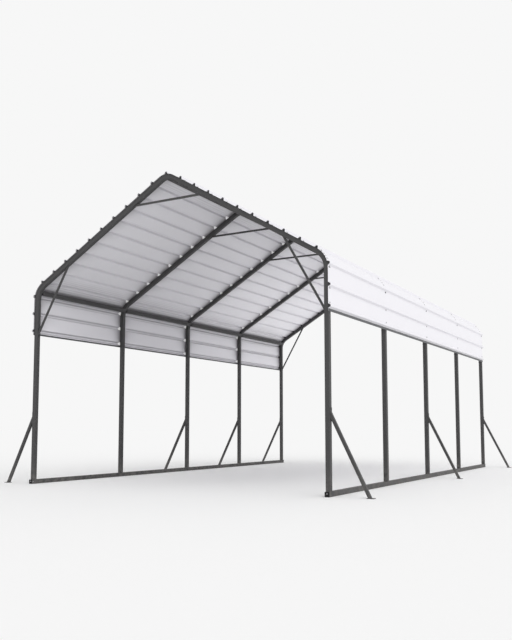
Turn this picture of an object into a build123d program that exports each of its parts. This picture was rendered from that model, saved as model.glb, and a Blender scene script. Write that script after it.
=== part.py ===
from build123d import *
import math
import os

os.makedirs("parts", exist_ok=True)

# Open carport of square steel tube under a roof of ribbed steel sheet, all in millimetres.
# X runs across, Y from the front to the back and Z up. The origin is on the ground at the centre.

# Overall size of the tube frames, measured over their outer faces
carport_width = 3660.0
carport_length = 6100.0
eave_height = 2205.0
ridge_height = 3290.0
frame_count = 5

# Main tube of the posts, arches and rails
tube = 48.0
tube_wall = 2.0

# Bends of the arch, measured on its outer face
ridge_bend = 180.0
eave_bend = 215.0

# Rails along the ground and under the eaves
rail_overhang = 20.0
eave_rail_inset = 28.0
eave_rail_drop = 42.0
plug_head = 3.0
plug_depth = 22.0
slip_gap = 0.3

# Sleeves inside the joints of the posts
spigot_wall = 2.0
spigot_reach = 100.0

# Thin tubes that stiffen the frames
brace_tube = 20.0
brace_wall = 1.5
tie_drop = 310.0
knee_out = 466.0
knee_drop = 503.0

# Outrigger struts with a flange on the post and a foot plate on the ground
strut_tube = 30.0
strut_wall = 1.5
strut_reach = 368.0
strut_rise = 740.0
flange_wall = 4.0
flange_width = 40.0
flange_height = 122.0
foot_plate = 5.0
foot_width = 50.0
foot_heel = 28.0
foot_toe = 42.0
anchor_hole = 4.5
anchor_out = 32.0
left_strut_frames = ("1", "3", "4", "5")
right_strut_frames = ("1", "3", "5")

# Ribbed sheets
sheet_wall = 1.0
sheet_overhang = 12.0
side_panel = 525.0
leg_show = 20.0
rib_pitch = 198.0
rib_height = 24.0
rib_base = 42.0
rib_top = 16.0
slope_sheets = 3
ribs_per_sheet = 3
seat_gap = 0.3
lap_gap = 0.3
lap_lip = 9.0
joggle = 6.0

# Channel under each side panel
trim_wall = 2.0
trim_outer_leg = 24.0
trim_inner_leg = 18.0

# Places that follow from the sizes above
half_width = carport_width / 2
slope = math.atan2(ridge_height - eave_height, half_width)
eave_turn = math.pi / 2 - slope
ridge_tangent = ridge_bend * math.tan(slope)
eave_tangent = eave_bend * math.tan(eave_turn / 2)
straight_slope = half_width / math.cos(slope) - ridge_tangent - eave_tangent
slope_start = ridge_bend * slope
slope_end = slope_start + straight_slope
wall_start = slope_end + eave_bend * eave_turn
wall_top = eave_height - eave_tangent
sheet_bottom = eave_height - side_panel
leg_end_height = sheet_bottom - leg_show
ridge_centre = ridge_height - ridge_bend / math.cos(slope)
eave_centre = half_width - eave_bend
frame_spacing = (carport_length - tube) / (frame_count - 1)
frame_middles = [tube / 2 - carport_length / 2 + i * frame_spacing for i in range(frame_count)]
sheet_length = carport_length + 2 * sheet_overhang
sheet_end = wall_start + wall_top - sheet_bottom


def place(along, out):
    """Point of the roof line: along is the distance round the arch from the ridge, negative on the left,
    and out is the distance outside the arch's outer face."""
    side = 1 if along >= 0 else -1
    run = abs(along)
    if run <= slope_start:
        turn = run / ridge_bend
        x = (ridge_bend + out) * math.sin(turn)
        z = ridge_centre + (ridge_bend + out) * math.cos(turn)
    elif run <= slope_end:
        down = run - slope_start
        x = (ridge_bend + out) * math.sin(slope) + down * math.cos(slope)
        z = ridge_centre + (ridge_bend + out) * math.cos(slope) - down * math.sin(slope)
    elif run <= wall_start:
        turn = slope + (run - slope_end) / eave_bend
        x = eave_centre + (eave_bend + out) * math.sin(turn)
        z = wall_top + (eave_bend + out) * math.cos(turn)
    else:
        x = half_width + out
        z = wall_top - (run - wall_start)
    return (side * x, 0, z)


def roof_run(start, end):
    """Edges from one point of the roof line to another, bent wherever the arch is bent."""
    if start[1] != end[1]:
        return [Line(place(*start), place(*end))]
    changes = [-wall_start, -slope_end, -slope_start, slope_start, slope_end, wall_start]
    low, high = sorted((start[0], end[0]))
    stops = [low] + [c for c in changes if low < c < high] + [high]
    if start[0] > end[0]:
        stops.reverse()
    edges = []
    for a, b in zip(stops, stops[1:]):
        middle = (a + b) / 2
        bent = abs(middle) < slope_start or slope_end < abs(middle) < wall_start
        if bent:
            edges.append(ThreePointArc(place(a, start[1]), place(middle, start[1]), place(b, start[1])))
        else:
            edges.append(Line(place(a, start[1]), place(b, start[1])))
    return edges


def roof_profile(corners):
    """Face bounded by corners of the form (along, out), in order round its edge."""
    edges = []
    for i, corner in enumerate(corners):
        edges += roof_run(corner, corners[(i + 1) % len(corners)])
    return Face(Wire(edges))


def roof_band(start, end, low, high):
    """Plain strip of the roof line between two distances outside the arch."""
    return roof_profile([(start, low), (end, low), (end, high), (start, high)])


def prism(face, length, middle=0.0):
    """Extrudes a profile in the XZ plane to a length along Y, centred on a place."""
    return Pos(0, middle - length / 2, 0) * extrude(face, amount=length, dir=(0, 1, 0))


def plate(points):
    """Face in the XZ plane from its (x, z) corners."""
    return Face(Wire(Polyline([(x, 0, z) for x, z in points], close=True).edges()))


def square_tube(size, wall, length):
    """Open square tube along Z, standing on its end."""
    align = (Align.CENTER, Align.CENTER, Align.MIN)
    return Box(size, size, length, align=align) - Box(size - 2 * wall, size - 2 * wall, length, align=align)


def crossing(point, direction, on_line, along_line):
    """Where two lines of the XZ plane cross."""
    det = direction[0] * along_line[1] - direction[1] * along_line[0]
    gap = (on_line[0] - point[0], on_line[1] - point[1])
    step = (gap[0] * along_line[1] - gap[1] * along_line[0]) / det
    return (point[0] + step * direction[0], point[1] + step * direction[1])


def strip(start, end, width, start_cut, end_cut, past=0.0):
    """Straight strip between two cut lines, each given as a direction through the strip's end point."""
    length = math.dist(start, end)
    unit = ((end[0] - start[0]) / length, (end[1] - start[1]) / length)
    start = (start[0] - past * unit[0], start[1] - past * unit[1])
    end = (end[0] + past * unit[0], end[1] + past * unit[1])
    edges = []
    for side in (-width / 2, width / 2):
        point = (start[0] - side * unit[1], start[1] + side * unit[0])
        edges.append((crossing(point, unit, start, start_cut), crossing(point, unit, end, end_cut)))
    return plate([edges[0][0], edges[0][1], edges[1][1], edges[1][0]])


def cut_tube(start, end, size, wall, start_cut, end_cut, middle):
    """Open square tube between two cut planes, centred on a frame."""
    outer = prism(strip(start, end, size, start_cut, end_cut), size, middle)
    bore = prism(strip(start, end, size - 2 * wall, start_cut, end_cut, past=size), size - 2 * wall, middle)
    return outer - bore


def both_sides(solid):
    """The solid on the right side and its mirror image on the left."""
    return {"right": solid, "left": mirror(solid, about=Plane.YZ)}


def save(name, *solids):
    """Writes one node."""
    shape = solids[0] if len(solids) == 1 else Compound(children=list(solids))
    export_step(shape, f"parts/{name}.step")


def base_rail():
    """Tube on the ground along one side."""
    length = carport_length + 2 * rail_overhang
    return Pos(half_width - tube / 2, length / 2, tube / 2) * Rot(X=90) * square_tube(tube, tube_wall, length)


def rail_plug():
    """Plastic plug in the front end of a base rail: a cap with a hollow body pushed into the tube."""
    body = tube - 2 * tube_wall - 2 * slip_gap
    cap = Box(tube, plug_head, tube, align=(Align.CENTER, Align.MAX, Align.CENTER))
    stem = Box(body, plug_depth, body, align=(Align.CENTER, Align.MIN, Align.CENTER))
    hollow = Box(body - 2 * plug_head, plug_depth, body - 2 * plug_head,
                 align=(Align.CENTER, Align.MIN, Align.CENTER))
    end = -carport_length / 2 - rail_overhang
    return Pos(half_width - tube / 2, end, tube / 2) * (cap + (stem - hollow))


def post(middle):
    """Upright tube from the base rail to the leg of the arch."""
    return Pos(half_width - tube / 2, middle, tube) * square_tube(tube, tube_wall, leg_end_height - tube)


def spigots(middle):
    """Sleeves in one frame's joints: low ones standing on the base rails, high ones between post and leg."""
    size = tube - 2 * tube_wall - 2 * slip_gap
    low = Pos(half_width - tube / 2, middle, tube) * square_tube(size, spigot_wall, spigot_reach)
    high_start = Pos(half_width - tube / 2, middle, leg_end_height - spigot_reach)
    high = high_start * square_tube(size, spigot_wall, 2 * spigot_reach)
    return [low, high, mirror(low, about=Plane.YZ), mirror(high, about=Plane.YZ)]


def roof_arch(middle):
    """Bent tube from one leg over the ridge to the other, open at both ends."""
    leg_end = wall_start + wall_top - leg_end_height
    inner = tube - 2 * tube_wall
    outside = prism(roof_band(-leg_end, leg_end, -tube, 0), tube, middle)
    inside = prism(roof_band(-leg_end - tube, leg_end + tube, tube_wall - tube, -tube_wall), inner, middle)
    return outside - inside


def rails_between_arches(x, z):
    """Lengths of tube between neighbouring arches, with their axis at one place across the carport."""
    length = frame_spacing - tube
    rails = []
    for middle in frame_middles[:-1]:
        start = Pos(x, middle + tube / 2 + length, z)
        rails.append(start * Rot(X=90) * square_tube(tube, tube_wall, length))
    return rails


def rafter_underside(out_from_wall):
    """Height of the rafter's lower face at a distance inside the frame's outer face."""
    return eave_height + out_from_wall * math.tan(slope) - tube / math.cos(slope)


def collar_tie(middle):
    """Thin tube across an arch under the ridge, cut to the rafters' undersides."""
    axis = ridge_height - tie_drop + brace_tube / 2
    end = half_width - (axis - rafter_underside(0)) / math.tan(slope)
    left_cut = (math.cos(slope), math.sin(slope))
    right_cut = (math.cos(slope), -math.sin(slope))
    return cut_tube((-end, axis), (end, axis), brace_tube, brace_wall, left_cut, right_cut, middle)


def knee_brace(middle):
    """Thin tube from the rafter's underside down to the inside of the leg."""
    top = (half_width - knee_out, rafter_underside(knee_out))
    foot = (half_width - tube, eave_height - knee_drop)
    rafter_cut = (math.cos(slope), -math.sin(slope))
    return cut_tube(top, foot, brace_tube, brace_wall, rafter_cut, (0, 1), middle)


def strut(middle):
    """Sloping tube between a foot plate on the ground and a flange on the outside of a post."""
    lean = strut_reach / strut_rise
    foot = (half_width + strut_reach - lean * foot_plate, foot_plate)
    top = (half_width + flange_wall, strut_rise - flange_wall / lean)
    outer = prism(strip(foot, top, strut_tube, (1, 0), (0, 1)), strut_tube, middle)
    inner = strut_tube - 2 * strut_wall
    bore = prism(strip(foot, top, inner, (1, 0), (0, 1), past=strut_tube), inner, middle)
    low = Align.MIN
    flange = Box(flange_wall, flange_width, flange_height, align=(low, Align.CENTER, Align.CENTER))
    heel = half_width + strut_reach - foot_heel
    base = Box(foot_heel + foot_toe, foot_width, foot_plate, align=(low, Align.CENTER, low))
    hole = Cylinder(anchor_hole, foot_plate, align=(Align.CENTER, Align.CENTER, low))
    anchor = Pos(half_width + strut_reach + anchor_out, middle, 0)
    ends = Pos(half_width, middle, strut_rise) * flange + (Pos(heel, middle, 0) * base - anchor * hole)
    return ends + (outer - bore)


def rib(number, lift):
    """Corners of one rib's face, lifted outwards: up from the pan, over the top and down again."""
    flank = math.atan2(rib_height, (rib_base - rib_top) / 2)
    widen = lift * math.tan(flank / 2)
    middle = number * rib_pitch
    foot = rib_base / 2 + widen
    crest = rib_top / 2 + widen
    top = rib_height + lift
    return [(middle - foot, lift), (middle - crest, top), (middle + crest, top), (middle + foot, lift)]


def lap_reach():
    """Distance from the middle of a lapped rib to the edge of the sheet."""
    return rib_base / 2 + lap_lip


def sheet_face(ribs, start, end, depth):
    """One face of a sheet: ribs is a list of (number, layer), where layer 1 lies over the next sheet."""
    lifts = [seat_gap + layer * (sheet_wall + lap_gap) + depth for number, layer in ribs]
    points = [(start, lifts[0])]
    for i, (number, layer) in enumerate(ribs):
        if i > 0 and lifts[i] > lifts[i - 1]:
            rise = number * rib_pitch - lap_reach() - 2 * joggle
            points += [(rise, lifts[i - 1]), (rise + joggle, lifts[i])]
        if i > 0 and lifts[i] < lifts[i - 1]:
            fall = ribs[i - 1][0] * rib_pitch + lap_reach() + joggle
            points += [(fall, lifts[i - 1]), (fall + joggle, lifts[i])]
        points += rib(number, lifts[i])
    return points + [(end, lifts[-1])]


def ribbed_sheet(ribs, start, end):
    """One roll-formed sheet over the whole length of the roof."""
    inner = sheet_face(ribs, start, end, 0)
    outer = sheet_face(ribs, start, end, sheet_wall)
    return prism(roof_profile(inner + outer[::-1]), sheet_length)


def ridge_sheet():
    """Sheet bent over the ridge, lapped over the first slope sheet on each side."""
    edge = rib_pitch + lap_reach()
    return ribbed_sheet([(-1, 1), (0, 0), (1, 1)], -edge, edge)


def slope_sheet(number):
    """Flat sheet of the right slope, its lower edge lapped over the next one."""
    first = 1 + number * ribs_per_sheet
    last = first + ribs_per_sheet
    ribs = [(k, 0) for k in range(first, last)] + [(last, 1)]
    return ribbed_sheet(ribs, first * rib_pitch - lap_reach(), last * rib_pitch + lap_reach())


def eave_sheet():
    """Lowest sheet of the right side, bent over the eave and down to the bottom edge of the side panel."""
    first = 1 + slope_sheets * ribs_per_sheet
    clear = sheet_end + trim_wall + seat_gap - trim_outer_leg - rib_base / 2
    last = int(clear // rib_pitch)
    ribs = [(k, 0) for k in range(first, last + 1)]
    return ribbed_sheet(ribs, first * rib_pitch - lap_reach(), sheet_end)


def bottom_trim():
    """Channel under the side panel, its inner leg notched round the legs of the arches."""
    inside = half_width - trim_wall
    outside = half_width + 2 * seat_gap + sheet_wall + trim_wall
    low = sheet_bottom - trim_wall - seat_gap
    section = plate([(inside, low), (outside, low), (outside, low + trim_outer_leg),
                     (outside - trim_wall, low + trim_outer_leg), (outside - trim_wall, low + trim_wall),
                     (half_width, low + trim_wall), (half_width, low + trim_inner_leg),
                     (inside, low + trim_inner_leg)])
    trim = prism(section, sheet_length)
    notch = Box(tube, tube + 2 * seat_gap, 2 * trim_outer_leg, align=(Align.MAX, Align.CENTER, Align.CENTER))
    for middle in frame_middles:
        trim -= Pos(half_width, middle, low) * notch
    return trim


# Base rails and their plugs
for side, solid in both_sides(base_rail()).items():
    save(f"{side}_base_rail", solid)
front_plugs = list(both_sides(rail_plug()).values())
back_plugs = [mirror(plug, about=Plane.XZ) for plug in front_plugs]
save("base_rail_plugs", *front_plugs, *back_plugs)

# Frames, numbered from the front
for number, middle in enumerate(frame_middles, 1):
    for side, solid in both_sides(post(middle)).items():
        save(f"{side}_post_{number}", solid)
    save(f"roof_arch_{number}", roof_arch(middle))
    save(f"collar_tie_{number}", collar_tie(middle))

# Sleeves inside the joints of the posts
sleeves = []
for middle in frame_middles:
    sleeves += spigots(middle)
save("post_spigots", *sleeves)

# Rails between the frames, along the eaves and under the ridge
eave_x = half_width - eave_rail_inset - tube / 2
right_rails = rails_between_arches(eave_x, eave_height - eave_rail_drop)
save("right_eave_rail", *right_rails)
save("left_eave_rail", *[mirror(rail, about=Plane.YZ) for rail in right_rails])
ridge_rail_top = ridge_centre + math.sqrt(ridge_bend ** 2 - tube ** 2 / 4)
save("ridge_rail", *rails_between_arches(0, ridge_rail_top - tube / 2))

# Knee braces of the first and the last frame
braces = []
for middle in (frame_middles[0], frame_middles[-1]):
    braces += both_sides(knee_brace(middle)).values()
save("knee_braces", *braces)

# Outrigger struts
for side, frames in (("left", left_strut_frames), ("right", right_strut_frames)):
    for number in frames:
        save(f"{side}_strut_{number}", both_sides(strut(frame_middles[int(number) - 1]))[side])

# Roof and side sheets
save("ridge_sheet", ridge_sheet())
for number in range(slope_sheets):
    for side, solid in both_sides(slope_sheet(number)).items():
        save(f"{side}_slope_sheet_{number + 1}", solid)
for side, solid in both_sides(eave_sheet()).items():
    save(f"{side}_eave_sheet", solid)

# Trims on the lower edges of the side panels
save("bottom_trims", *both_sides(bottom_trim()).values())
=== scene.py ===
import math

import bpy
import numpy as np
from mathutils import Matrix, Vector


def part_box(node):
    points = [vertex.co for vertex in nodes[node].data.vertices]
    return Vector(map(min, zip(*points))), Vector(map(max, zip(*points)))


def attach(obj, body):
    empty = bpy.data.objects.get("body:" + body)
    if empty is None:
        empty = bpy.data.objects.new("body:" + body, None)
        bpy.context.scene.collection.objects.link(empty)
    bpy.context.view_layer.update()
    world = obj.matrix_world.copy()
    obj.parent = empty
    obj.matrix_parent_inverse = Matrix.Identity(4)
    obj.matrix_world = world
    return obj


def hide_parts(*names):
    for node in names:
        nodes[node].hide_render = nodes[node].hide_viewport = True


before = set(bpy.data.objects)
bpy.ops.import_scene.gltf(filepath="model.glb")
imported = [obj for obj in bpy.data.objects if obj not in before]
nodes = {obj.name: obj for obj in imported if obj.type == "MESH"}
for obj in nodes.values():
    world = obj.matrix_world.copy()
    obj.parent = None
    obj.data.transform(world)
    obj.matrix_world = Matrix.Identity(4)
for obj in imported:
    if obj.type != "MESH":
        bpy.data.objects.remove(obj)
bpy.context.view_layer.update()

# Base rails
# A square steel tube on the ground along each side, galvanised and then powder coated in charcoal.
# The rolls that form it leave its corners rounded, and its ends are sawn square.
post_low, post_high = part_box("right_post_1")
half_width = post_high[0]
tube_size = post_high[0] - post_low[0]
tube_wall = 0.002
tube_corner = 0.005
least_corner = 0.0005
y_axis = np.array([0.0, 1.0, 0.0])
z_axis = np.array([0.0, 0.0, 1.0])


def shader_group(name, inputs, outputs):
    """Empty shader node group with float or colour sockets, and its two end nodes."""
    tree = bpy.data.node_groups.new(name, "ShaderNodeTree")
    for label, kind, value in inputs:
        socket = tree.interface.new_socket(label, in_out="INPUT", socket_type=kind)
        socket.default_value = value
    for label, kind in outputs:
        tree.interface.new_socket(label, in_out="OUTPUT", socket_type=kind)
    return tree, tree.nodes.new("NodeGroupInput"), tree.nodes.new("NodeGroupOutput")


def add_node(tree, kind, operation=None, **values):
    """Shader node with the given operation and input values, named by their sockets."""
    node = tree.nodes.new(kind)
    if operation:
        node.operation = operation
    for label, value in values.items():
        node.inputs[label.replace("_", " ")].default_value = value
    return node


def blend_colours(tree, factor, first, second):
    """Mix node that goes from the first colour to the second as the factor goes from 0 to 1."""
    node = tree.nodes.new("ShaderNodeMix")
    node.data_type = "RGBA"
    for socket, source in ((node.inputs[0], factor), (node.inputs[6], first), (node.inputs[7], second)):
        if isinstance(source, bpy.types.NodeSocket):
            tree.links.new(source, socket)
        else:
            socket.default_value = source
    return node.outputs[2]


def surface_finish():
    """Group for every finish of the carport. Cloudy tone: the colour times one plus the mottle times a
    soft noise about zero. Dust: a broken noise that fades out with the height above the ground.
    Painted shade, a darker colour, goes over both where its mask says. Grain: a fine noise for the
    height of a bump. The roughness rises where the dust lies."""
    tree, start, end = shader_group("surface_finish", [
        ("Colour", "NodeSocketColor", (0.5, 0.5, 0.5, 1)),
        ("Dust Colour", "NodeSocketColor", (0.4, 0.38, 0.35, 1)),
        ("Dust Height", "NodeSocketFloat", 0.3), ("Dust Amount", "NodeSocketFloat", 0.3),
        ("Mottle", "NodeSocketFloat", 0.1), ("Mottle Size", "NodeSocketFloat", 0.2),
        ("Grain Size", "NodeSocketFloat", 0.002), ("Roughness", "NodeSocketFloat", 0.4),
        ("Painted Shade", "NodeSocketFloat", 0.0), ("Painted Shade Colour", "NodeSocketColor", (0.13, 0.12, 0.13, 1))],
        [("Colour", "NodeSocketColor"), ("Roughness", "NodeSocketFloat"), ("Grain", "NodeSocketFloat")])
    link = tree.links.new
    place = tree.nodes.new("ShaderNodeTexCoord").outputs["Object"]

    def noise(size, detail):
        """Noise whose features are about a size across, in metres."""
        scale = add_node(tree, "ShaderNodeMath", "DIVIDE")
        scale.inputs[0].default_value = 1
        if isinstance(size, float):
            scale.inputs[1].default_value = size
        else:
            link(size, scale.inputs[1])
        node = add_node(tree, "ShaderNodeTexNoise", Detail=detail)
        link(place, node.inputs["Vector"])
        link(scale.outputs[0], node.inputs["Scale"])
        return node.outputs["Fac"]

    cloud = add_node(tree, "ShaderNodeMath", "SUBTRACT")
    link(noise(start.outputs["Mottle Size"], 5.0), cloud.inputs[0])
    cloud.inputs[1].default_value = 0.5
    tone = add_node(tree, "ShaderNodeMath", "MULTIPLY_ADD")
    link(cloud.outputs[0], tone.inputs[0])
    link(start.outputs["Mottle"], tone.inputs[1])
    tone.inputs[2].default_value = 1
    shade = add_node(tree, "ShaderNodeVectorMath", "SCALE")
    link(start.outputs["Colour"], shade.inputs[0])
    link(tone.outputs[0], shade.inputs["Scale"])

    split = tree.nodes.new("ShaderNodeSeparateXYZ")
    link(place, split.inputs[0])
    fade = tree.nodes.new("ShaderNodeMapRange")
    fade.interpolation_type = "SMOOTHSTEP"
    link(split.outputs["Z"], fade.inputs["Value"])
    link(start.outputs["Dust Height"], fade.inputs["From Max"])
    fade.inputs["To Min"].default_value = 1
    fade.inputs["To Max"].default_value = 0
    broken = tree.nodes.new("ShaderNodeMapRange")
    link(noise(0.05, 6.0), broken.inputs["Value"])
    broken.inputs["From Min"].default_value = 0.35
    broken.inputs["From Max"].default_value = 0.7
    low_dust = add_node(tree, "ShaderNodeMath", "MULTIPLY")
    link(fade.outputs[0], low_dust.inputs[0])
    link(broken.outputs[0], low_dust.inputs[1])
    dust = add_node(tree, "ShaderNodeMath", "MULTIPLY")
    link(low_dust.outputs[0], dust.inputs[0])
    link(start.outputs["Dust Amount"], dust.inputs[1])
    dusty = blend_colours(tree, dust.outputs[0], shade.outputs[0], start.outputs["Dust Colour"])
    # Painted shade: a darker colour over the dusty one where the mask says.
    painted_shade_over_dust = blend_colours(tree, start.outputs["Painted Shade"], dusty, start.outputs["Painted Shade Colour"])
    link(painted_shade_over_dust, end.inputs["Colour"])

    patchy = add_node(tree, "ShaderNodeMath", "MULTIPLY_ADD")
    link(cloud.outputs[0], patchy.inputs[0])
    patchy.inputs[1].default_value = 0.25
    link(start.outputs["Roughness"], patchy.inputs[2])
    rough = add_node(tree, "ShaderNodeMath", "ADD")
    rough.use_clamp = True
    link(patchy.outputs[0], rough.inputs[0])
    link(dust.outputs[0], rough.inputs[1])
    link(rough.outputs[0], end.inputs["Roughness"])
    link(noise(start.outputs["Grain Size"], 2.0), end.inputs["Grain"])
    return tree


finish_group = surface_finish()


def finished_material(name, colour, roughness, mottle, grain, dust=0.0, metallic=0.0, gloss=0.5):
    """Principled material on the shared finish. The colour is linear, and the grain is the size and the
    depth of its bump, in metres."""
    material = bpy.data.materials.new(name)
    material.use_nodes = True
    tree = material.node_tree
    shader = tree.nodes["Principled BSDF"]
    group = tree.nodes.new("ShaderNodeGroup")
    group.node_tree = finish_group
    group.inputs["Colour"].default_value = (*colour, 1)
    group.inputs["Roughness"].default_value = roughness
    group.inputs["Mottle"].default_value = mottle
    group.inputs["Grain Size"].default_value = grain[0]
    group.inputs["Dust Amount"].default_value = dust
    shader.inputs["Metallic"].default_value = metallic
    shader.inputs["Specular IOR Level"].default_value = gloss
    bump = add_node(tree, "ShaderNodeBump", Distance=grain[1])
    tree.links.new(group.outputs["Colour"], shader.inputs["Base Color"])
    tree.links.new(group.outputs["Roughness"], shader.inputs["Roughness"])
    tree.links.new(group.outputs["Grain"], bump.inputs["Height"])
    tree.links.new(bump.outputs["Normal"], shader.inputs["Normal"])
    return material


def rounded_outline(width, height, corner, steps=4):
    """Closed outline of a rectangle with rounded corners, and its outward normals. Each corner is a
    quarter circle: its centre plus the radius times (cos, sin)."""
    middle = np.arange(4)[:, None] * math.pi / 2
    turn = middle + np.linspace(0, math.pi / 2, steps + 1)
    facing = np.stack([np.cos(turn), np.sin(turn)], -1)
    quadrant = np.stack([np.cos(middle + math.pi / 4), np.sin(middle + math.pi / 4)], -1)
    centres = np.sign(quadrant) * (width / 2 - corner, height / 2 - corner)
    outline = (centres + corner * facing).reshape(-1, 2)
    facing = facing.reshape(-1, 2)
    return np.vstack([outline, outline[:1]]), np.vstack([facing, facing[:1]])


def carried(outline, facing, origins, across, up):
    """An outline carried along a path: each origin, plus across times the outline's first number,
    plus up times its second. The normals follow in the same way."""
    points = origins[:, None] + across[:, None] * outline[:, :1] + up[:, None] * outline[:, 1:]
    normals = across[:, None] * facing[:, :1] + up[:, None] * facing[:, 1:]
    return points, normals


def tube_patches(origins, across, up, size, wall, corner, cuts=(None, None)):
    """Open square tube along a path: its outside, its bore and its two sawn ends. A cut is the normal
    of the plane that saws an end, and the points of that end slide along the tube onto the plane."""
    skins = []
    for width, radius in ((size, corner), (size - 2 * wall, max(corner - wall, least_corner))):
        skins.append(carried(*rounded_outline(width, width, radius), origins, across, up))
    rims = []
    for end, cut in zip((0, -1), cuts):
        along = origins[1] - origins[0] if end == 0 else origins[-1] - origins[-2]
        along = along / np.linalg.norm(along)
        flat = along if cut is None else np.array(cut, float)
        outward = flat * np.sign(flat @ along) * (1 if end else -1)
        for points, normals in skins:
            off = (points[end] - origins[end]) @ flat / (along @ flat)
            points[end] -= off[:, None] * along
        rim = np.stack([points[end] for points, normals in skins])
        rims.append((rim, np.broadcast_to(outward, rim.shape)))
    return [skins[0], (skins[1][0], -skins[1][1])] + rims


def straight_tube(start, end, across, size=tube_size, wall=tube_wall, corner=tube_corner,
                  cuts=(None, None)):
    """Patches of a straight tube between the middles of its ends."""
    origins = np.array([start, end], float)
    along = (origins[1] - origins[0]) / np.linalg.norm(origins[1] - origins[0])
    across = np.array([across, across], float)
    return tube_patches(origins, across, np.cross(along, across), size, wall, corner, cuts)


def mirrored(patches):
    """The same patches on the left side."""
    flip = np.array([-1.0, 1.0, 1.0])
    return [(points * flip, normals * flip) for points, normals in patches]


def piece(name, patches, material, replaced=(), marks=None):
    """Closed mesh from patches. A patch is a grid of points, or a stack of grids, and the normals at
    those points. Each cell becomes a face that looks the way of its normals, and points at the same
    place become one, so that patches which meet are joined and keep their own normals. Marks are a
    number for each point, which the material reads as the mesh's painted shade."""
    grids = [(p[None] if p.ndim == 3 else p, n[None] if n.ndim == 3 else n) for p, n in patches]
    points = np.concatenate([p.reshape(-1, 3) for p, n in grids])
    normals = np.concatenate([n.reshape(-1, 3) for p, n in grids])
    cells = []
    count = 0
    for p, n in grids:
        number = count + np.arange(p.size // 3).reshape(p.shape[:3])
        corners = [number[:, :-1, :-1], number[:, 1:, :-1], number[:, 1:, 1:], number[:, :-1, 1:]]
        cells.append(np.stack(corners, -1).reshape(-1, 4))
        count += p.size // 3
    cells = np.concatenate(cells)
    diagonals = points[cells[:, 2:]] - points[cells[:, :2]]
    spread = np.cross(diagonals[:, 0], diagonals[:, 1])
    inward = (spread * normals[cells].sum(1)).sum(1) < 0
    cells[inward] = cells[inward][:, ::-1]
    places = np.round(points * 1e6).astype(np.int64)
    first, merged = np.unique(places, axis=0, return_index=True, return_inverse=True)[1:]
    corners = merged.reshape(-1)[cells]
    doubled = corners == np.roll(corners, -1, axis=1)
    whole = ~doubled.any(1)
    pointed = doubled.sum(1) == 1
    keep = ~doubled[pointed]
    mesh = bpy.data.meshes.new(name)
    mesh.from_pydata(points[first].tolist(), [],
                     corners[whole].tolist() + corners[pointed][keep].reshape(-1, 3).tolist())
    mesh.shade_smooth()
    facing = np.concatenate([normals[cells[whole].ravel()], normals[cells[pointed][keep]]])
    mesh.normals_split_custom_set(facing.tolist())
    if marks is not None:
        # The marks go on the mesh as painted shade, which the material reads.
        spread_marks = np.concatenate([marks[cells[whole].ravel()], marks[cells[pointed][keep]]])
        mask = mesh.attributes.new("painted_shade", "FLOAT", "CORNER")
        mask.data.foreach_set("value", spread_marks.astype(np.float32))
    mesh.materials.append(material)
    item = bpy.data.objects.new(name, mesh)
    bpy.context.scene.collection.objects.link(item)
    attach(item, "root")
    if replaced:
        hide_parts(*replaced)
    return item


charcoal = finished_material("charcoal_powder_coat", (0.070, 0.069, 0.070), roughness=0.46, mottle=0.12,
                             grain=(0.0011, 0.00004), dust=0.25, gloss=0.15)
rail_low, rail_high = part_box("right_base_rail")
rail_x = half_width - tube_size / 2
rail_ends = [(rail_x, end, tube_size / 2) for end in (rail_low[1], rail_high[1])]
base_rail = straight_tube(*rail_ends, z_axis)
piece("right_base_rail_tube", base_rail, charcoal, ["right_base_rail"])
piece("left_base_rail_tube", mirrored(base_rail), charcoal, ["left_base_rail"])

# Plugs of the base rails
# Black plastic caps pushed into the open ends of the base rails, each with a rounded face.
# A zinc screw holds the cap in its face, and another goes through the inner side of the rail.
plug_black = finished_material("black_plastic", (0.009, 0.009, 0.010), roughness=0.42, mottle=0.15,
                               grain=(0.0006, 0.00002), dust=0.02, gloss=0.2)
zinc = finished_material("zinc_plating", (0.62, 0.62, 0.63), roughness=0.34, mottle=0.25,
                         grain=(0.002, 0.00001), dust=0.1, metallic=1.0)
plug_head = 0.0022
plug_depth = 0.022
plug_wall = 0.0025
plug_edge = 0.0016
plug_tip_corner = 0.001
slip_gap = 0.0003
cap_screw_above = 0.006
side_screw_back = 0.013
pan_head = [(0, 0), (0.0048, 0), (0.0048, 0.0008), (0.0042, 0.0019), (0.0028, 0.0027), (0.0012, 0.0029),
            (0.0012, 0.0016), (0, 0.0016)]
sunk_head = [(0, 0), (0.0046, 0), (0.0042, 0.0005), (0.0014, 0.0007), (0.0014, 0.0001), (0, 0.0001)]


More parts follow.
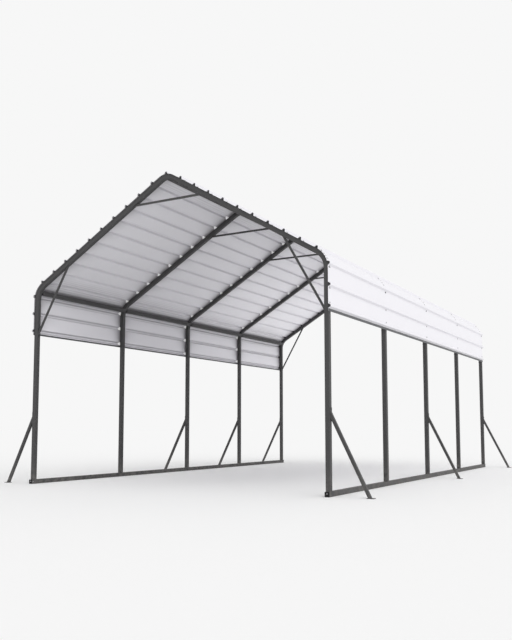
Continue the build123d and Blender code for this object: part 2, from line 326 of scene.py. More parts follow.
def turned(profile, origins, axis, sides=12, flat=False):
    """Turned shape, once at each origin. Its profile is a list of (radius, height), and a point is the
    origin, plus the height along the axis, plus the radius times (cos, sin) round the axis. A flat one
    has plane sides, as the head of a hexagon bolt."""
    profile = np.array(profile, float)
    origins = np.atleast_2d(origins)
    axis = np.broadcast_to(np.array(axis, float), origins.shape)
    turn = np.arange(sides + 1) * 2 * math.pi / sides
    turn = np.stack([turn[:-1], turn[1:]], 1) if flat else turn[None]
    facing = turn.mean(1, keepdims=True) + 0 * turn if flat else turn
    helper = np.where(np.abs(axis[:, 2:]) > 0.9, y_axis, z_axis)
    first = np.cross(helper, axis)
    first /= np.linalg.norm(first, axis=1)[:, None]
    second = np.cross(axis, first)
    first, second, axis, origins = (v[:, None, None, None, None] for v in (first, second, axis, origins))
    run = np.diff(profile, axis=0)
    run /= np.linalg.norm(run, axis=1)[:, None]
    ends = np.stack([profile[:-1], profile[1:]], 1)[None, :, None, :, None, :, None]
    run = run[None, :, None, None, None, :, None]
    reach = first * np.cos(turn)[:, None, :, None] + second * np.sin(turn)[:, None, :, None]
    look = first * np.cos(facing)[:, None, :, None] + second * np.sin(facing)[:, None, :, None]
    points = origins + ends[..., 1, :] * axis + ends[..., 0, :] * reach
    normals = run[..., 1, :] * look - run[..., 0, :] * axis + 0 * points
    shape = (-1, 2, turn.shape[1], 3)
    return points.reshape(shape), normals.reshape(shape)


def plug_patches(corner_x, end, outward):
    """Cap and shank of a plug. The cap's edge is a quarter circle: its outline shrinks by the radius
    times one minus the cosine while it comes out by the radius times the sine."""
    start = np.array([corner_x, end, tube_size / 2])
    turn = np.linspace(0, math.pi / 2, 5)
    out = np.concatenate([[0], plug_head - plug_edge + plug_edge * np.sin(turn)])
    inset = np.concatenate([[0], plug_edge * (1 - np.cos(turn))])
    rings = []
    facings = []
    for depth, shrink in zip(out, inset):
        width = tube_size - 2 * shrink
        outline, facing = rounded_outline(width, width, max(tube_corner - shrink, plug_tip_corner))
        rings.append(start + outline[:, :1] * (1, 0, 0) + outline[:, 1:] * z_axis + depth * outward)
        facings.append(facing[:, :1] * (1, 0, 0) + facing[:, 1:] * z_axis)
    rings = np.array(rings)
    facings = np.array(facings)
    lean = turn[:, None, None]
    middle = np.broadcast_to(start + plug_head * outward, rings[:1].shape)
    back = np.broadcast_to(start, rings[:1].shape)
    patches = [(np.concatenate([back, rings[:1]]), np.broadcast_to(-outward, (2, *rings.shape[1:]))),
               (rings[:2], facings[:2]),
               (rings[1:], facings[1:] * np.cos(lean) + outward * np.sin(lean)),
               (np.concatenate([rings[-1:], middle]), np.broadcast_to(outward, (2, *rings.shape[1:])))]
    shank_size = tube_size - 2 * tube_wall - 2 * slip_gap
    ends = np.array([start - outward * plug_depth, start - outward * slip_gap])
    ways = np.array([[1.0, 0, 0]] * 2), np.array([z_axis] * 2)
    shank = tube_patches(ends, *ways, shank_size, plug_wall, tube_corner - tube_wall)
    return patches + shank


plugs = []
plug_screws = []
for end, outward in ((rail_low[1], -y_axis), (rail_high[1], y_axis)):
    plugs += plug_patches(rail_x, end, outward)
    face = (rail_x, end + outward[1] * plug_head, tube_size / 2 + cap_screw_above)
    side = (rail_x - tube_size / 2, end - outward[1] * side_screw_back, tube_size / 2)
    plug_screws += [turned(sunk_head, face, outward), turned(pan_head, side, (-1, 0, 0))]
piece("base_rail_plug_caps", plugs + mirrored(plugs), plug_black, ["base_rail_plugs"])
piece("base_rail_plug_screws", plug_screws + mirrored(plug_screws), zinc)

# Posts
# Ten upright tubes on the base rails. Each is pushed over a sleeve at its foot, which a screw holds, and
# over another at its head, where a bolt goes through the leg of the arch and the sleeve.
nodes["post_spigots"].data.materials.clear()
nodes["post_spigots"].data.materials.append(zinc)
for side in ("right", "left"):
    for number in range(1, 6):
        low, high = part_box(f"{side}_post_{number}")
        middle = (low[0] + high[0]) / 2, (low[1] + high[1]) / 2
        post = straight_tube((*middle, low[2]), (*middle, high[2]), y_axis)
        piece(f"{side}_post_{number}_tube", post, charcoal, [f"{side}_post_{number}"])

leg_end = post_high[2]
joint_bolt_above = 0.010
foot_screw_above = 0.045
coated_steel = finished_material("coated_bolts", (0.03, 0.031, 0.033), roughness=0.36, mottle=0.15,
                                 grain=(0.0008, 0.00001), dust=0.15)
post_boxes = [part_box(f"right_post_{number}") for number in range(1, 6)]
frame_middles = [(low[1] + high[1]) / 2 for low, high in post_boxes]


def hexagon(across_flats, height, start=0.0):
    """Profile of a hexagon head or nut. Its flats are cut with plane sides, so its corners lie out by
    half the size across flats over cos 30 degrees, and its top edge is turned off at 45 degrees."""
    radius = across_flats / 2 / math.cos(math.pi / 6)
    edge = 0.12 * across_flats
    top = start + height
    return [(0, start), (radius, start), (radius, top - edge / 2), (radius - edge, top), (0, top)]


def washer(radius, height, start=0.0):
    """Profile of a flat washer whose outer edge is turned off."""
    edge = height * 0.4
    top = start + height
    return [(0, start), (radius, start), (radius, top - edge), (radius - edge, top), (0, top)]


def bolt_patches(origins, axis, across_flats=0.010, head=0.0045, disc=0.0085, disc_wall=0.0012):
    """Hexagon heads on washers, each let in by a tenth of its washer's wall."""
    return [turned(washer(disc, disc_wall), origins, axis, 16),
            turned(hexagon(across_flats, head, disc_wall * 0.9), origins, axis, 6, True)]


joint_places = np.array([(0, middle, leg_end + joint_bolt_above) for middle in frame_middles])
inner_side = joint_places + (half_width - tube_size, 0, 0)
outer_side = joint_places + (half_width, 0, 0)
joint_nuts = bolt_patches(inner_side, (-1, 0, 0), head=0.006, disc=0.008)
joint_heads = bolt_patches(outer_side, (1, 0, 0), across_flats=0.009, head=0.002, disc=0.0062,
                           disc_wall=0.0008)
foot_places = np.array([(half_width, middle, tube_size + foot_screw_above) for middle in frame_middles])
tube_screw = {"across_flats": 0.007, "head": 0.0035, "disc": 0.0065, "disc_wall": 0.001}
foot_screws = bolt_patches(foot_places, (1, 0, 0), **tube_screw)
post_bolts = joint_nuts + joint_heads + foot_screws
piece("post_bolts", post_bolts + mirrored(post_bolts), coated_steel)

# Roof arches
# Each is one tube bent three times cold, at the eaves and at the ridge, and sawn square at both legs.
# The roof line gives every bent thing its place: it runs round the outer face of the arches.
eave_height = 2.205
ridge_height = 3.290
ridge_bend = 0.180
eave_bend = 0.215
slope = math.atan2(ridge_height - eave_height, half_width)
eave_tangent = eave_bend * math.tan((math.pi / 2 - slope) / 2)
straight_slope = half_width / math.cos(slope) - ridge_bend * math.tan(slope) - eave_tangent
slope_start = ridge_bend * slope
slope_end = slope_start + straight_slope
wall_start = slope_end + eave_bend * (math.pi / 2 - slope)
wall_top = eave_height - eave_tangent
ridge_top = ridge_height - ridge_bend * (1 / math.cos(slope) - 1)


def roof_line(along, out):
    """Points of the roof line in X and Z, with the direction along it and the direction out of it.
    The line leaves the ridge level, turns at an even rate round the ridge bend and the eave bend and
    is straight between and below them, and a point lies its own distance outside it."""
    run = np.abs(along)
    side = np.sign(along)
    turn = np.interp(run, [0, slope_start, slope_end, wall_start], [0, slope, slope, math.pi / 2])
    first = np.minimum(turn, slope)
    second = np.maximum(turn, slope)
    down = np.clip(run - slope_start, 0, straight_slope)
    x = ridge_bend * np.sin(first) + down * math.cos(slope)
    x = x + eave_bend * (np.sin(second) - math.sin(slope))
    z = ridge_top - ridge_bend * (1 - np.cos(first)) - down * math.sin(slope)
    z = z - eave_bend * (math.cos(slope) - np.cos(second)) - np.maximum(run - wall_start, 0)
    zero = np.zeros_like(run)
    outward = np.stack([side * np.sin(turn), zero, np.cos(turn)], -1)
    forward = np.stack([np.cos(turn), zero, -side * np.sin(turn)], -1)
    return np.stack([side * x, zero, z], -1) + outward * np.asarray(out)[..., None], forward, outward


def bend_stations(end, steps=12):
    """Distances along the roof line that a bent piece needs, from one end to the other."""
    ridge = np.linspace(0, slope_start, steps // 2 + 1)
    right = np.concatenate([ridge, np.linspace(slope_end, wall_start, steps + 1)])
    right = np.append(right[right < end], end)
    return np.unique(np.concatenate([-right, right]))


arch_along = bend_stations(wall_start + wall_top - leg_end)
for number, middle in enumerate(frame_middles, 1):
    origins, forward, outward = roof_line(arch_along, np.full_like(arch_along, -tube_size / 2))
    across = np.broadcast_to(y_axis, outward.shape)
    arch = tube_patches(origins + y_axis * middle, across, outward, tube_size, tube_wall, tube_corner)
    piece(f"roof_arch_{number}_tube", arch, charcoal, [f"roof_arch_{number}"])

# Collar ties and knee braces
# Thin square tubes, mitred to the tubes they join and welded all round before the frames were coated.
# Every arch has a tie under its ridge, and the first and the last have a brace in each corner.
brace_size = 0.020
brace_wall = 0.0015
brace_corner = 0.0025
tie_drop = 0.310
tie_axis = ridge_height - tie_drop + brace_size / 2
knee_out = 0.466
knee_drop = 0.503
knee_foot = eave_height - knee_drop
bead_radius = 0.0022
bead_swell = 0.12
bead_ripple = 0.0035


def rafter_underside(inside):
    """Height of a rafter's lower face at a distance inside the frame's outer face."""
    return eave_height + inside * math.tan(slope) - tube_size / math.cos(slope)


def weld_bead(patches, end):
    """Bead round the end of a tube: a small circle carried round the tube's outline on the surface it
    is welded to, a little thicker and thinner along the way, as the ripples of a hand weld are."""
    ring = patches[0][0][end]
    facing = patches[0][1][end]
    steps = np.linspace(0, 1, 4, endpoint=False)[:, None, None]
    middle = (ring[:-1] * (1 - steps) + ring[1:] * steps).transpose(1, 0, 2).reshape(-1, 3)
    push = (facing[:-1] * (1 - steps) + facing[1:] * steps).transpose(1, 0, 2).reshape(-1, 3)
    lift = patches[3 if end else 2][1][0, 0]
    push = push - (push @ lift)[:, None] * lift
    push /= np.linalg.norm(push, axis=1)[:, None]
    run = np.cumsum(np.linalg.norm(middle - np.roll(middle, 1, axis=0), axis=1))
    size = bead_radius * (1 + bead_swell * np.sin(run / bead_ripple * 2 * math.pi))
    turn = np.linspace(0, 2 * math.pi, 7)
    normals = push[:, None] * np.cos(turn)[:, None] - lift * np.sin(turn)[:, None]
    points = middle[:, None] + size[:, None, None] * normals
    return np.concatenate([points, points[:1]]), np.concatenate([normals, normals[:1]])


right_rafter = (math.sin(slope), 0, math.cos(slope))
left_rafter = (-math.sin(slope), 0, math.cos(slope))
tie_end = half_width - (tie_axis - rafter_underside(0)) / math.tan(slope)
for number, middle in enumerate(frame_middles, 1):
    tie = straight_tube((-tie_end, middle, tie_axis), (tie_end, middle, tie_axis), y_axis,
                        brace_size, brace_wall, brace_corner, (left_rafter, right_rafter))
    piece(f"collar_tie_{number}_tube", tie, charcoal, [f"collar_tie_{number}"])
    piece(f"collar_tie_{number}_welds", [weld_bead(tie, 0), weld_bead(tie, -1)], charcoal)

knees = []
knee_welds = []
for middle in (frame_middles[0], frame_middles[-1]):
    top = (half_width - knee_out, middle, rafter_underside(knee_out))
    knee = straight_tube(top, (half_width - tube_size, middle, knee_foot), y_axis,
                         brace_size, brace_wall, brace_corner, (right_rafter, (1, 0, 0)))
    knees += knee + mirrored(knee)
    beads = [weld_bead(knee, 0), weld_bead(knee, -1)]
    knee_welds += beads + mirrored(beads)
piece("knee_brace_tubes", knees, charcoal, ["knee_braces"])
piece("knee_brace_welds", knee_welds, charcoal)

# Rails between the arches
# Lengths of the same tube along both eaves and under the ridge, cut to fit between the arches.
# Each end butts against the side of an arch, with a screw from below beside it.
end_screw_in = 0.025
rail_screws = []
for node_name in ("right_eave_rail", "left_eave_rail", "ridge_rail"):
    low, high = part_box(node_name)
    x = (low[0] + high[0]) / 2
    z = (low[2] + high[2]) / 2
    lengths = []
    for before, after in zip(frame_middles, frame_middles[1:]):
        lengths += straight_tube((x, before + tube_size / 2, z), (x, after - tube_size / 2, z), z_axis)
    piece(f"{node_name}_tubes", lengths, charcoal, [node_name])
    places = [(x, middle + way * (tube_size / 2 + end_screw_in), z - (high[2] - low[2]) / 2)
              for middle in frame_middles for way in (-1, 1)
              if low[1] < middle + way * tube_size < high[1]]
    rail_screws += bolt_patches(np.array(places), (0, 0, -1), **tube_screw)
piece("rail_screws", rail_screws, coated_steel)

# Outrigger struts
# Sloping tubes that brace seven of the posts from outside. Each is welded to a flange, which is bolted
# to the post, and to a foot plate, which lies on the ground with a hole for an anchor.
strut_size = 0.030
strut_wall = 0.0015
strut_corner = 0.003
strut_reach = 0.368
strut_rise = 0.740
flange_wall = 0.004
flange_width = 0.040
flange_height = 0.122
flange_corner = 0.004
foot_plate = 0.005
foot_width = 0.050
foot_corner = 0.006
foot_heel = 0.028
foot_toe = 0.042
anchor_hole = 0.0045
anchor_out = 0.032
strut_places = {"left": (1, 3, 4, 5), "right": (1, 3, 5)}
flange_bolt_up = 0.047
flange_bolt_down = 0.050


def plate_patches(outline, facing, origin, across, up, wall, hole=None):
    """Flat plate: the outline's edge, and two faces drawn in from the outline to the plate's middle, or
    to a round hole, which then gets its own wall. The plate grows by its wall along across x up."""
    normal = np.cross(across, up)
    origins = np.array([origin, origin + normal * wall])
    ways = np.array([across] * 2), np.array([up] * 2)
    edge, edge_normals = carried(outline, facing, origins, *ways)
    patches = [(edge, edge_normals)]
    centre, radius = hole if hole else ((0.0, 0.0), 0.0)
    toward = outline - centre
    toward = toward / np.linalg.norm(toward, axis=1)[:, None]
    rim, rim_normals = carried(centre + radius * toward, -toward, origins, *ways)
    if hole:
        patches.append((rim, rim_normals))
    for end, direction in ((0, -normal), (1, normal)):
        face = np.stack([edge[end], rim[end]])
        patches.append((face, np.broadcast_to(direction, face.shape)))
    return patches


def strut_patches(middle):
    """Tube, flange, foot plate and weld beads of a strut on the right side."""
    lean = strut_reach / strut_rise
    foot = (half_width + strut_reach - lean * foot_plate, middle, foot_plate)
    top = (half_width + flange_wall, middle, strut_rise - flange_wall / lean)
    stem = straight_tube(foot, top, y_axis, strut_size, strut_wall, strut_corner, ((0, 0, 1), (1, 0, 0)))
    flange = plate_patches(*rounded_outline(flange_width, flange_height, flange_corner),
                           np.array([half_width, middle, strut_rise]), y_axis, z_axis, flange_wall)
    sole_length = foot_heel + foot_toe
    sole_middle = half_width + strut_reach + (foot_toe - foot_heel) / 2
    hole_place = half_width + strut_reach + anchor_out - sole_middle
    sole = plate_patches(*rounded_outline(sole_length, foot_width, foot_corner),
                         np.array([sole_middle, middle, 0.0]), np.array([1.0, 0, 0]), y_axis, foot_plate,
                         ((hole_place, 0.0), anchor_hole))
    return stem, flange + sole, [weld_bead(stem, 0), weld_bead(stem, -1)]


for side, numbers in strut_places.items():
    for number in numbers:
        stem, plates, beads = strut_patches(frame_middles[number - 1])
        whole = stem + plates
        if side == "left":
            whole = mirrored(whole)
            beads = mirrored(beads)
        piece(f"{side}_strut_{number}_tube", whole, charcoal, [f"{side}_strut_{number}"])
        piece(f"{side}_strut_{number}_welds", beads, charcoal)
        places = [(half_width + flange_wall, frame_middles[number - 1], strut_rise + lift)
                  for lift in (flange_bolt_up, -flange_bolt_down)]
        bolts = bolt_patches(np.array(places), (1, 0, 0))
        piece(f"{side}_strut_{number}_bolts", mirrored(bolts) if side == "left" else bolts, coated_steel)

# Roof and side sheets
# Thin steel sheet, coil coated in white and roll formed with a rib every 198 mm. The ridge sheet and the
# two eave sheets are bent along their ribs to follow the arches, and each upper sheet laps a rib over
# the one below it.
rib_pitch = 0.198
first_eave_rib = 10
last_rib = 13
rib_height = 0.024
rib_base = 0.042
rib_top = 0.016
sheet_wall = 0.0010
layer_step = 0.0013
seat_gap = 0.0003
lap_reach = rib_base / 2 + 0.009
joggle = 0.006
rib_bend = 0.003
even_step = 0.02
even_stations = 50
arch_steps = (0, 0.02, 0.045, 0.08, 0.13, 0.2)
sheet_half = 3.062
side_panel = 0.525
press_step = 0.030
press_tilt = 0.18
# Painted shade lines at the press strokes on the inner face, three times as dark away from the ridge
# bend.
press_line_shade = 0.14
eave_line_shade = 3
painted_shade_strength = 0.8
# Painted shade on the rib flanks of the inner face, darker on the walls.
slope_flank_shade = 0.09
wall_flank_shade = 0.5
side_fade = 0.007
seat_fade = 0.004
# Reach of the painted contact shadow beside the arches and the eave rail.
arch_shade_reach = 0.075
arch_shade_taper = 0.053
rail_shade_reach = 0.022
pan_bulge = 0.0010
pan_foot = 0.03
pan_rise = 0.05
sheet_end = wall_start + wall_top - eave_height + side_panel
white_coat = finished_material("white_coil_coat", (0.805, 0.795, 0.832), roughness=0.38, mottle=0.03,
                               grain=(0.02, 0.00005), dust=0.1, gloss=0.35)
# The white coat darkens where the sheets' painted shade attribute says: on the inner face, at rib
# flanks, at press strokes and beside the tubes.
coat_tree = white_coat.node_tree
painted_shade = coat_tree.nodes.new("ShaderNodeAttribute")
painted_shade.attribute_name = "painted_shade"
painted_shade_amount = add_node(coat_tree, "ShaderNodeMath", "MULTIPLY")
coat_tree.links.new(painted_shade.outputs["Fac"], painted_shade_amount.inputs[0])
painted_shade_amount.inputs[1].default_value = painted_shade_strength
finish = next(node for node in coat_tree.nodes if node.type == "GROUP")
coat_tree.links.new(painted_shade_amount.outputs[0], finish.inputs["Painted Shade"])


def rounded_path(corners, radius, steps=3):
    """Points and left-hand normals of a line with its corners bent to a radius. At each corner the
    direction turns at an even rate, and the points are the start of the bend plus the radius times the
    change of the normal."""
    corners = np.array(corners)
    legs = np.diff(corners, axis=0)
    heading = np.arctan2(legs[:, 1], legs[:, 0])
    turn = np.diff(heading)
    back = radius * np.tan(np.abs(turn) / 2)
    unit = legs / np.linalg.norm(legs, axis=1)[:, None]
    start = corners[1:-1] - unit[:-1] * back[:, None]
    angles = heading[:-1, None] + turn[:, None] * np.linspace(0, 1, steps + 1)
    facing = np.stack([-np.sin(angles), np.cos(angles)], -1)
    points = start[:, None] + radius * np.sign(turn)[:, None, None] * (facing[:, :1] - facing)
    ends = np.stack([-np.sin(heading[[0, -1]]), np.cos(heading[[0, -1]])], -1)
    points = np.vstack([corners[:1], points.reshape(-1, 2), corners[-1:]])
    return points, np.vstack([ends[:1], facing.reshape(-1, 2), ends[1:]])


def sheet_corners(ribs, start, end):
    """Corners of a sheet's middle surface as (along, out). Ribs is a list of (number, layer); a rib of
    layer 1 lies over the next sheet's rib, and the pan steps up to it beside the lap."""
    lifts = [seat_gap + layer * layer_step + sheet_wall / 2 for number, layer in ribs]
    corners = [(start, lifts[0])]
    for i, (number, layer) in enumerate(ribs):
        middle = number * rib_pitch
        if i > 0 and lifts[i] > lifts[i - 1]:
            rise = middle - lap_reach - 2 * joggle
            corners += [(rise, lifts[i - 1]), (rise + joggle, lifts[i])]
        if i > 0 and lifts[i] < lifts[i - 1]:
            fall = ribs[i - 1][0] * rib_pitch + lap_reach + joggle
            corners += [(fall, lifts[i - 1]), (fall + joggle, lifts[i])]
        foot = rib_base / 2
        crest = rib_top / 2
        top = lifts[i] + rib_height
        corners += [(middle - foot, lifts[i]), (middle - crest, top)]
        corners += [(middle + crest, top), (middle + foot, lifts[i])]
    return corners + [(end, lifts[-1])]


def bend_share(along):
    """Share of a press bend at places along the roof line: 1 in the ridge bend and the eave bends, and
    falling to 0 over a rib pitch beyond them on the slope and over a press step on the wall."""
    run = np.abs(along)
    return np.interp(run, [slope_start, slope_start + rib_pitch, slope_end - rib_pitch, slope_end,
                           wall_start, wall_start + press_step], [1, 0, 0, 1, 1, 0])


def sheet_patches(ribs, start, end):
    """Ribbed sheet over the whole roof: its bent line carried from the front to the back, once for each
    face and closed along the edges. The strokes of the press leave shallow sine waves in the bends.
    Between the arches the pans bulge out by up to a millimetre, by a product of slow sines, as thin
    sheet does between its screws. The second result is painted shade on the inner face: some on the rib
    flanks, more of it on the walls, a line at every stroke of the press, and the most as contact shadow
    where the sheet lies on the arches and the eave rail. It halves every 75 mm from an arch beside the
    upper rib of a pan, and every 22 mm beside the lower one."""
    line, facing = rounded_path(sheet_corners(ribs, start, end), rib_bend)
    length = np.concatenate([[0], np.cumsum(np.linalg.norm(np.diff(line, axis=0), axis=1))])
    fine = np.arange(0, length[-1], press_step / 6)
    bent = bend_share(np.interp(fine, length, line[:, 0])) > 0
    stations = np.unique(np.concatenate([length, np.arange(0, length[-1], even_step), fine[bent]]))
    line = np.stack([np.interp(stations, length, line[:, i]) for i in (0, 1)], -1)
    facing = np.stack([np.interp(stations, length, facing[:, i]) for i in (0, 1)], -1)
    stroke = line[:, 0] / press_step * 2 * math.pi
    press = bend_share(line[:, 0])
    tilt = press_tilt * press * np.cos(stroke) * facing[:, 1]
    facing = np.stack([facing[:, 0] - tilt, facing[:, 1]], -1)
    facing /= np.linalg.norm(facing, axis=1)[:, None]
    line[:, 1] += press_tilt * press_step / (2 * math.pi) * press * (np.sin(stroke) - 1)
    beside = np.array(frame_middles)[:, None] + (tube_size / 2 + np.array(arch_steps)) * [[[-1]], [[1]]]
    y = np.concatenate([np.linspace(-sheet_half, sheet_half, even_stations), beside.ravel()])
    y = np.unique(np.clip(y, -sheet_half, sheet_half).round(5))
    bay = np.sin((y - frame_middles[0]) / (frame_middles[1] - frame_middles[0]) * math.pi) ** 2
    off_rib = np.abs(line[:, 0] / rib_pitch - np.round(line[:, 0] / rib_pitch)) * rib_pitch
    pan = np.clip((off_rib - pan_foot) / pan_rise, 0, 1)
    ripple = 0.5 + 0.5 * np.sin(line[:, 0] * 11 + 2)[:, None] * np.sin(y * 3.7 + line[:1, 0] * 5 + 1)
    bulge = pan_bulge * pan[:, None] * bay * ripple
    skins = []
    for depth in (-sheet_wall / 2, sheet_wall / 2):
        out = line[:, 1] + facing[:, 1] * depth
        along = line[:, 0] + facing[:, 0] * depth
        points, forward, outward = roof_line(along[:, None] + 0 * bulge, out[:, None] + bulge)
        points[..., 1] = y
        normals = forward * facing[:, None, :1] + outward * facing[:, None, 1:]
        skins.append((points, normals))
    patches = [skins[1], (skins[0][0], -skins[0][1])]
    for end, direction in ((0, -1), (-1, 1)):
        edge = np.stack([points[end] for points, normals in skins])
        patches.append((edge, np.broadcast_to(forward[end, :1] * direction, edge.shape)))
        edge = np.stack([points[:, end] for points, normals in skins])
        patches.append((edge, np.broadcast_to(y_axis * direction, edge.shape)))
    run = np.abs(line[:, 0])
    # Painted shade on the rib flanks, growing from the slope to the wall.
    rib_side = np.clip(1.5 - np.abs(off_rib - (rib_base + rib_top) / 4) / side_fade, 0, 1)
    flank = rib_side * np.interp(run, [slope_end, wall_start], [slope_flank_shade, wall_flank_shade])
    # Painted contact shadow where the sheet lies on the arches and the eave rail.
    from_arch = np.abs(y[:, None] - frame_middles).min(1) - tube_size / 2
    from_rail = np.abs(run - (slope_end + wall_start) / 2) - tube_size / 2
    down_pan = run / rib_pitch % 1
    reach = arch_shade_reach - arch_shade_taper * down_pan[:, None]
    near = 0.5 ** (np.clip(from_arch, 0, 1) / reach)
    near_rail = 0.5 ** (np.clip(from_rail, 0, 1) / rail_shade_reach)
    seated = np.maximum(rib_side, np.clip((off_rib - rib_base / 2) / seat_fade + 1, 0, 1))
    # Painted shade lines at every press stroke in the bends.
    harder = np.where(run > slope_start + rib_pitch, eave_line_shade, 1)
    press_shade_lines = harder * press_line_shade * press * np.cos(stroke / 2) ** 2
    contact = seated[:, None] * np.maximum(near, near_rail[:, None])
    painted_shade_inside = np.maximum(np.maximum(flank, press_shade_lines)[:, None], contact)
    clean = [np.zeros(p.size // 3) for p, n in patches[2:]]
    return patches, np.concatenate([np.zeros(painted_shade_inside.size), painted_shade_inside.ravel()] + clean)


ridge_edge = rib_pitch + lap_reach
patches, marks = sheet_patches([(-1, 1), (0, 0), (1, 1)], -ridge_edge, ridge_edge)
piece("ridge_sheet_formed", patches, white_coat, ["ridge_sheet"], marks)
sheets = {}
for number in range(3):
    first = 1 + 3 * number
    ribs = [(first, 0), (first + 1, 0), (first + 2, 0), (first + 3, 1)]
    reach = first * rib_pitch - lap_reach, (first + 3) * rib_pitch + lap_reach
    sheets[f"slope_sheet_{number + 1}"] = ribs, *reach
eave_ribs = [(number, 0) for number in range(first_eave_rib, last_rib + 1)]
sheets["eave_sheet"] = eave_ribs, first_eave_rib * rib_pitch - lap_reach, sheet_end
for name, (ribs, start, end) in sheets.items():
    patches, marks = sheet_patches(ribs, start, end)
    piece(f"right_{name}_formed", patches, white_coat, [f"right_{name}"], marks)
    piece(f"left_{name}_formed", mirrored(patches), white_coat, [f"left_{name}"], marks)

# Screws of the sheets
# Self-drilling screws of zinc plated steel, each on a washer with a black rubber ring under it. They go
# through the pan beside every rib into every arch, and beside a lap they keep clear of its lip.
beside_rib = 0.030
beside_lap = 0.042
beside_last = -0.033
lap_ribs = (1, 4, 7, 10)
screw_ring = washer(0.0078, 0.0022)
screw_washer = washer(0.0066, 0.0014, start=0.0021)
screw_head = hexagon(0.008, 0.0045, start=0.0032)
rubber = finished_material("black_rubber", (0.02, 0.02, 0.02), roughness=0.7, mottle=0.2,
                           grain=(0.0008, 0.00002))
ribs = np.arange(1, last_rib + 1)
aside = np.where(ribs == last_rib, beside_last, beside_rib)
aside = np.where(np.isin(ribs, lap_ribs), beside_lap, aside)
seats, forward, outward = roof_line(ribs * rib_pitch + aside, np.full(len(ribs), seat_gap + sheet_wall))
for number, middle in enumerate(frame_middles, 1):
    rings = [turned(screw_ring, seats + y_axis * middle, outward, 14)]
    heads = [turned(screw_washer, seats + y_axis * middle, outward, 14),
             turned(screw_head, seats + y_axis * middle, outward, 6, True)]
    piece(f"sheet_screws_{number}_rings", rings + mirrored(rings), rubber)
    piece(f"sheet_screws_{number}_heads", heads + mirrored(heads), zinc)

# Blocks under the ribs
# Strips of foam cut to the hollow of a rib. Black ones close the ribs over the first and the last arch,
# and darken the open rib ends there as a stand-in for the deep shade inside them. White ones carry the
# ribs over the three arches between, and a weak emission gives them a painted glow that stands for
# daylight seen through the ribs.
block_foot = 0.0385
block_crest = 0.0140
block_height = 0.0232
block_length = {"dark": 0.038, "pale": 0.074}
# Strength of the painted glow on the white foam.
foam_painted_glow = 0.25
rib_end_shade_foam = finished_material("black_foam_rib_end_shade", (0.050, 0.050, 0.052), roughness=0.9, mottle=0.3,
                               grain=(0.0016, 0.0002))
glowing_white_foam = finished_material("white_foam_painted_glow", (0.92, 0.92, 0.91), roughness=0.8, mottle=0.05,
                               grain=(0.0016, 0.0001))
# Painted glow: the white foam emits a little light of its own.
foam_shader = glowing_white_foam.node_tree.nodes["Principled BSDF"]
foam_shader.inputs["Emission Color"].default_value = (1, 1, 1, 1)
foam_shader.inputs["Emission Strength"].default_value = foam_painted_glow


def block_patches(middle, length):
    """Prism on the roof line under each rib: four corners of its section, placed by the line's direction
    and its outward direction, and carried from the front of an arch to its back."""
    all_ribs = np.arange(-last_rib, last_rib + 1)
    origins, forward, outward = roof_line(all_ribs * rib_pitch, np.full(len(all_ribs), seat_gap / 2))
    section = np.array([(-block_foot / 2, 0), (block_foot / 2, 0), (block_crest / 2, block_height),
                        (-block_crest / 2, block_height), (-block_foot / 2, 0)])
    edges = np.diff(section, axis=0)
    facing = np.stack([edges[:, 1], -edges[:, 0]], -1)
    facing /= np.linalg.norm(facing, axis=1)[:, None]
    ring = origins[:, None] + section[:, :1] * forward[:, None] + section[:, 1:] * outward[:, None]
    look = facing[:, :1] * forward[:, None] + facing[:, 1:] * outward[:, None]
    ends = [ring + y_axis * (middle + way * length / 2) for way in (-1, 1)]
    sides = np.stack([np.stack([end[:, :-1], end[:, 1:]], 2) for end in ends], 2)
    looks = np.broadcast_to(look[:, :, None, None], sides.shape)
    patches = [(sides.reshape(-1, 2, 2, 3), looks.reshape(-1, 2, 2, 3))]
    for end, way in zip(ends, (-1, 1)):
        face = np.stack([end[:, [0, 1]], end[:, [3, 2]]], 1)
        patches.append((face, np.broadcast_to(y_axis * way, face.shape)))
    return patches


# Black blocks over the end arches darken the rib ends as painted shade, and the white ones glow as
# painted light.
for number, middle in enumerate(frame_middles, 1):
    kind = "dark" if number in (1, 5) else "pale"
    foam, slot = {"dark": (rib_end_shade_foam, "edge_trim"), "pale": (glowing_white_foam, "sheet")}[kind]
    piece(f"rib_blocks_{number}", block_patches(middle, block_length[kind]), foam)

# Trims
# A thin dark strip along the bottom edge of each side panel. Its CAD piece is shown as it is, in a coat
# of its own.
trim_dark = finished_material("trim_coat", (0.07, 0.072, 0.078), roughness=0.45, mottle=0.1,
                              grain=(0.0011, 0.00003))
nodes["bottom_trims"].data.materials.clear()
nodes["bottom_trims"].data.materials.append(trim_dark)

# Floor, light and camera
# A pale floor that runs into the background, a soft sky, and one wide soft lamp from the upper right.
# The floor is as bright as the background where nothing shades it, so that no horizon shows. It sends
# up less light under the front half of the roof, and a soft uplight brightens the back half.
background_tone = 0.93
sky_light = 0.76
lamp_power = 1.18
lamp_spread = math.radians(70)
lamp_height = math.radians(30)
lamp_turn = math.radians(66)
floor_tone = 0.98
open_bounce = 1.0
roofed_bounce = 0.05
shade_forward = 1.9
floor_glow = 1.0
glow_back = 2.8
glow_reach = 3.4
shade_edge = (0.6, 1.15)
glow_edge = (0.3, 1.0)
floor_half = 400.0


def grey(tone):
    """Colour with the same tone in red, green and blue."""
    return tone, tone, tone, 1


def seen_mask(tree):
    """Value that is 1 for rays from the camera, from gloss and through glass, and 0 for all others."""
    rays = tree.nodes.new("ShaderNodeLightPath").outputs
    value = rays["Is Camera Ray"]
    for label in ("Is Glossy Ray", "Is Transmission Ray"):
        wider = add_node(tree, "ShaderNodeMath", "MAXIMUM")
        tree.links.new(value, wider.inputs[0])
        tree.links.new(rays[label], wider.inputs[1])
        value = wider.outputs[0]
    return value


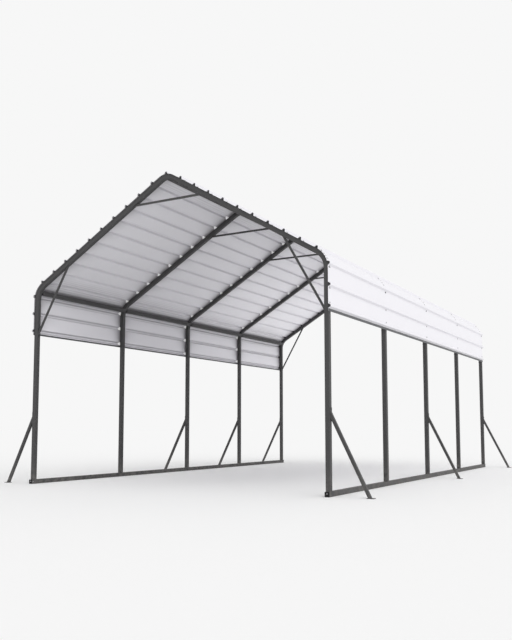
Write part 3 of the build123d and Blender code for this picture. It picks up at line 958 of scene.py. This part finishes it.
def floor_mask(tree, back, reach, inner, outer):
    """Value that goes from 0 to 1 between two ellipses on the floor. Their middle lies back from the
    origin, and they measure the inner and the outer number times half the width and the reach."""
    moved = add_node(tree, "ShaderNodeVectorMath", "SUBTRACT")
    tree.links.new(tree.nodes.new("ShaderNodeTexCoord").outputs["Object"], moved.inputs[0])
    moved.inputs[1].default_value = (0, back, 0)
    shrunk = add_node(tree, "ShaderNodeVectorMath", "DIVIDE")
    tree.links.new(moved.outputs[0], shrunk.inputs[0])
    shrunk.inputs[1].default_value = (half_width, reach, 1)
    size = add_node(tree, "ShaderNodeVectorMath", "LENGTH")
    tree.links.new(shrunk.outputs[0], size.inputs[0])
    mask = add_node(tree, "ShaderNodeMapRange", From_Min=inner, From_Max=outer)
    tree.links.new(size.outputs["Value"], mask.inputs["Value"])
    return mask.outputs[0]


floor_mesh = bpy.data.meshes.new("floor")
floor_mesh.from_pydata([(-floor_half, -floor_half, 0), (floor_half, -floor_half, 0),
                        (floor_half, floor_half, 0), (-floor_half, floor_half, 0)], [], [(0, 1, 2, 3)])
floor = bpy.data.objects.new("floor", floor_mesh)
bpy.context.scene.collection.objects.link(floor)
floor_paint = bpy.data.materials.new("floor_paint")
floor_paint.use_nodes = True
floor_shader = floor_paint.node_tree.nodes["Principled BSDF"]
floor_tree = floor_paint.node_tree
shaded = floor_mask(floor_tree, -shade_forward, shade_forward, *shade_edge)
bounce = blend_colours(floor_tree, shaded, grey(roofed_bounce), grey(open_bounce))
lit = floor_mask(floor_tree, glow_back, glow_reach, *glow_edge)
glow = blend_colours(floor_tree, lit, grey(floor_glow), grey(0))
seen = seen_mask(floor_tree)
unseen_glow = blend_colours(floor_tree, seen, glow, grey(0))
floor_tree.links.new(unseen_glow, floor_shader.inputs["Emission Color"])
floor_shader.inputs["Emission Strength"].default_value = 1.0
floor_colour = blend_colours(floor_tree, seen, bounce, grey(floor_tone))
floor_tree.links.new(floor_colour, floor_shader.inputs["Base Color"])
floor_shader.inputs["Roughness"].default_value = 1.0
floor_shader.inputs["Specular IOR Level"].default_value = 0.0
floor_mesh.materials.append(floor_paint)

scene = bpy.context.scene
world = bpy.data.worlds.new("studio")
scene.world = world
world.use_nodes = True
sky_tree = world.node_tree
sky = blend_colours(sky_tree, seen_mask(sky_tree), grey(sky_light), grey(background_tone))
sky_tree.links.new(sky, sky_tree.nodes["Background"].inputs["Color"])
lamp_data = bpy.data.lights.new("soft_lamp", "SUN")
lamp_data.energy = lamp_power
lamp_data.angle = lamp_spread
lamp = bpy.data.objects.new("soft_lamp", lamp_data)
lamp.rotation_euler = (math.pi / 2 - lamp_height, 0, lamp_turn)
scene.collection.objects.link(lamp)
scene.view_settings.view_transform = "Standard"

camera_data = bpy.data.cameras.new("camera")
camera = bpy.data.objects.new("camera", camera_data)
scene.collection.objects.link(camera)
scene.camera = camera
picture_width = 512
picture_height = 640
focal_pixels = 761.16
optical_middle = (263.544, 359.971)
camera_pitch = 5.1893
camera_roll = 0.0778
camera_turn = 28.7107
camera_data.sensor_width = 36.0
camera_data.lens = focal_pixels * camera_data.sensor_width / picture_height
camera_data.shift_x = (picture_width / 2 - optical_middle[0]) / picture_height
camera_data.shift_y = (optical_middle[1] - picture_height / 2) / picture_height
camera_data.clip_end = 500
camera.location = (4.6053, -9.3564, 0.6059)
camera.rotation_euler = (math.radians(90 + camera_pitch), math.radians(camera_roll),
                         math.radians(camera_turn))
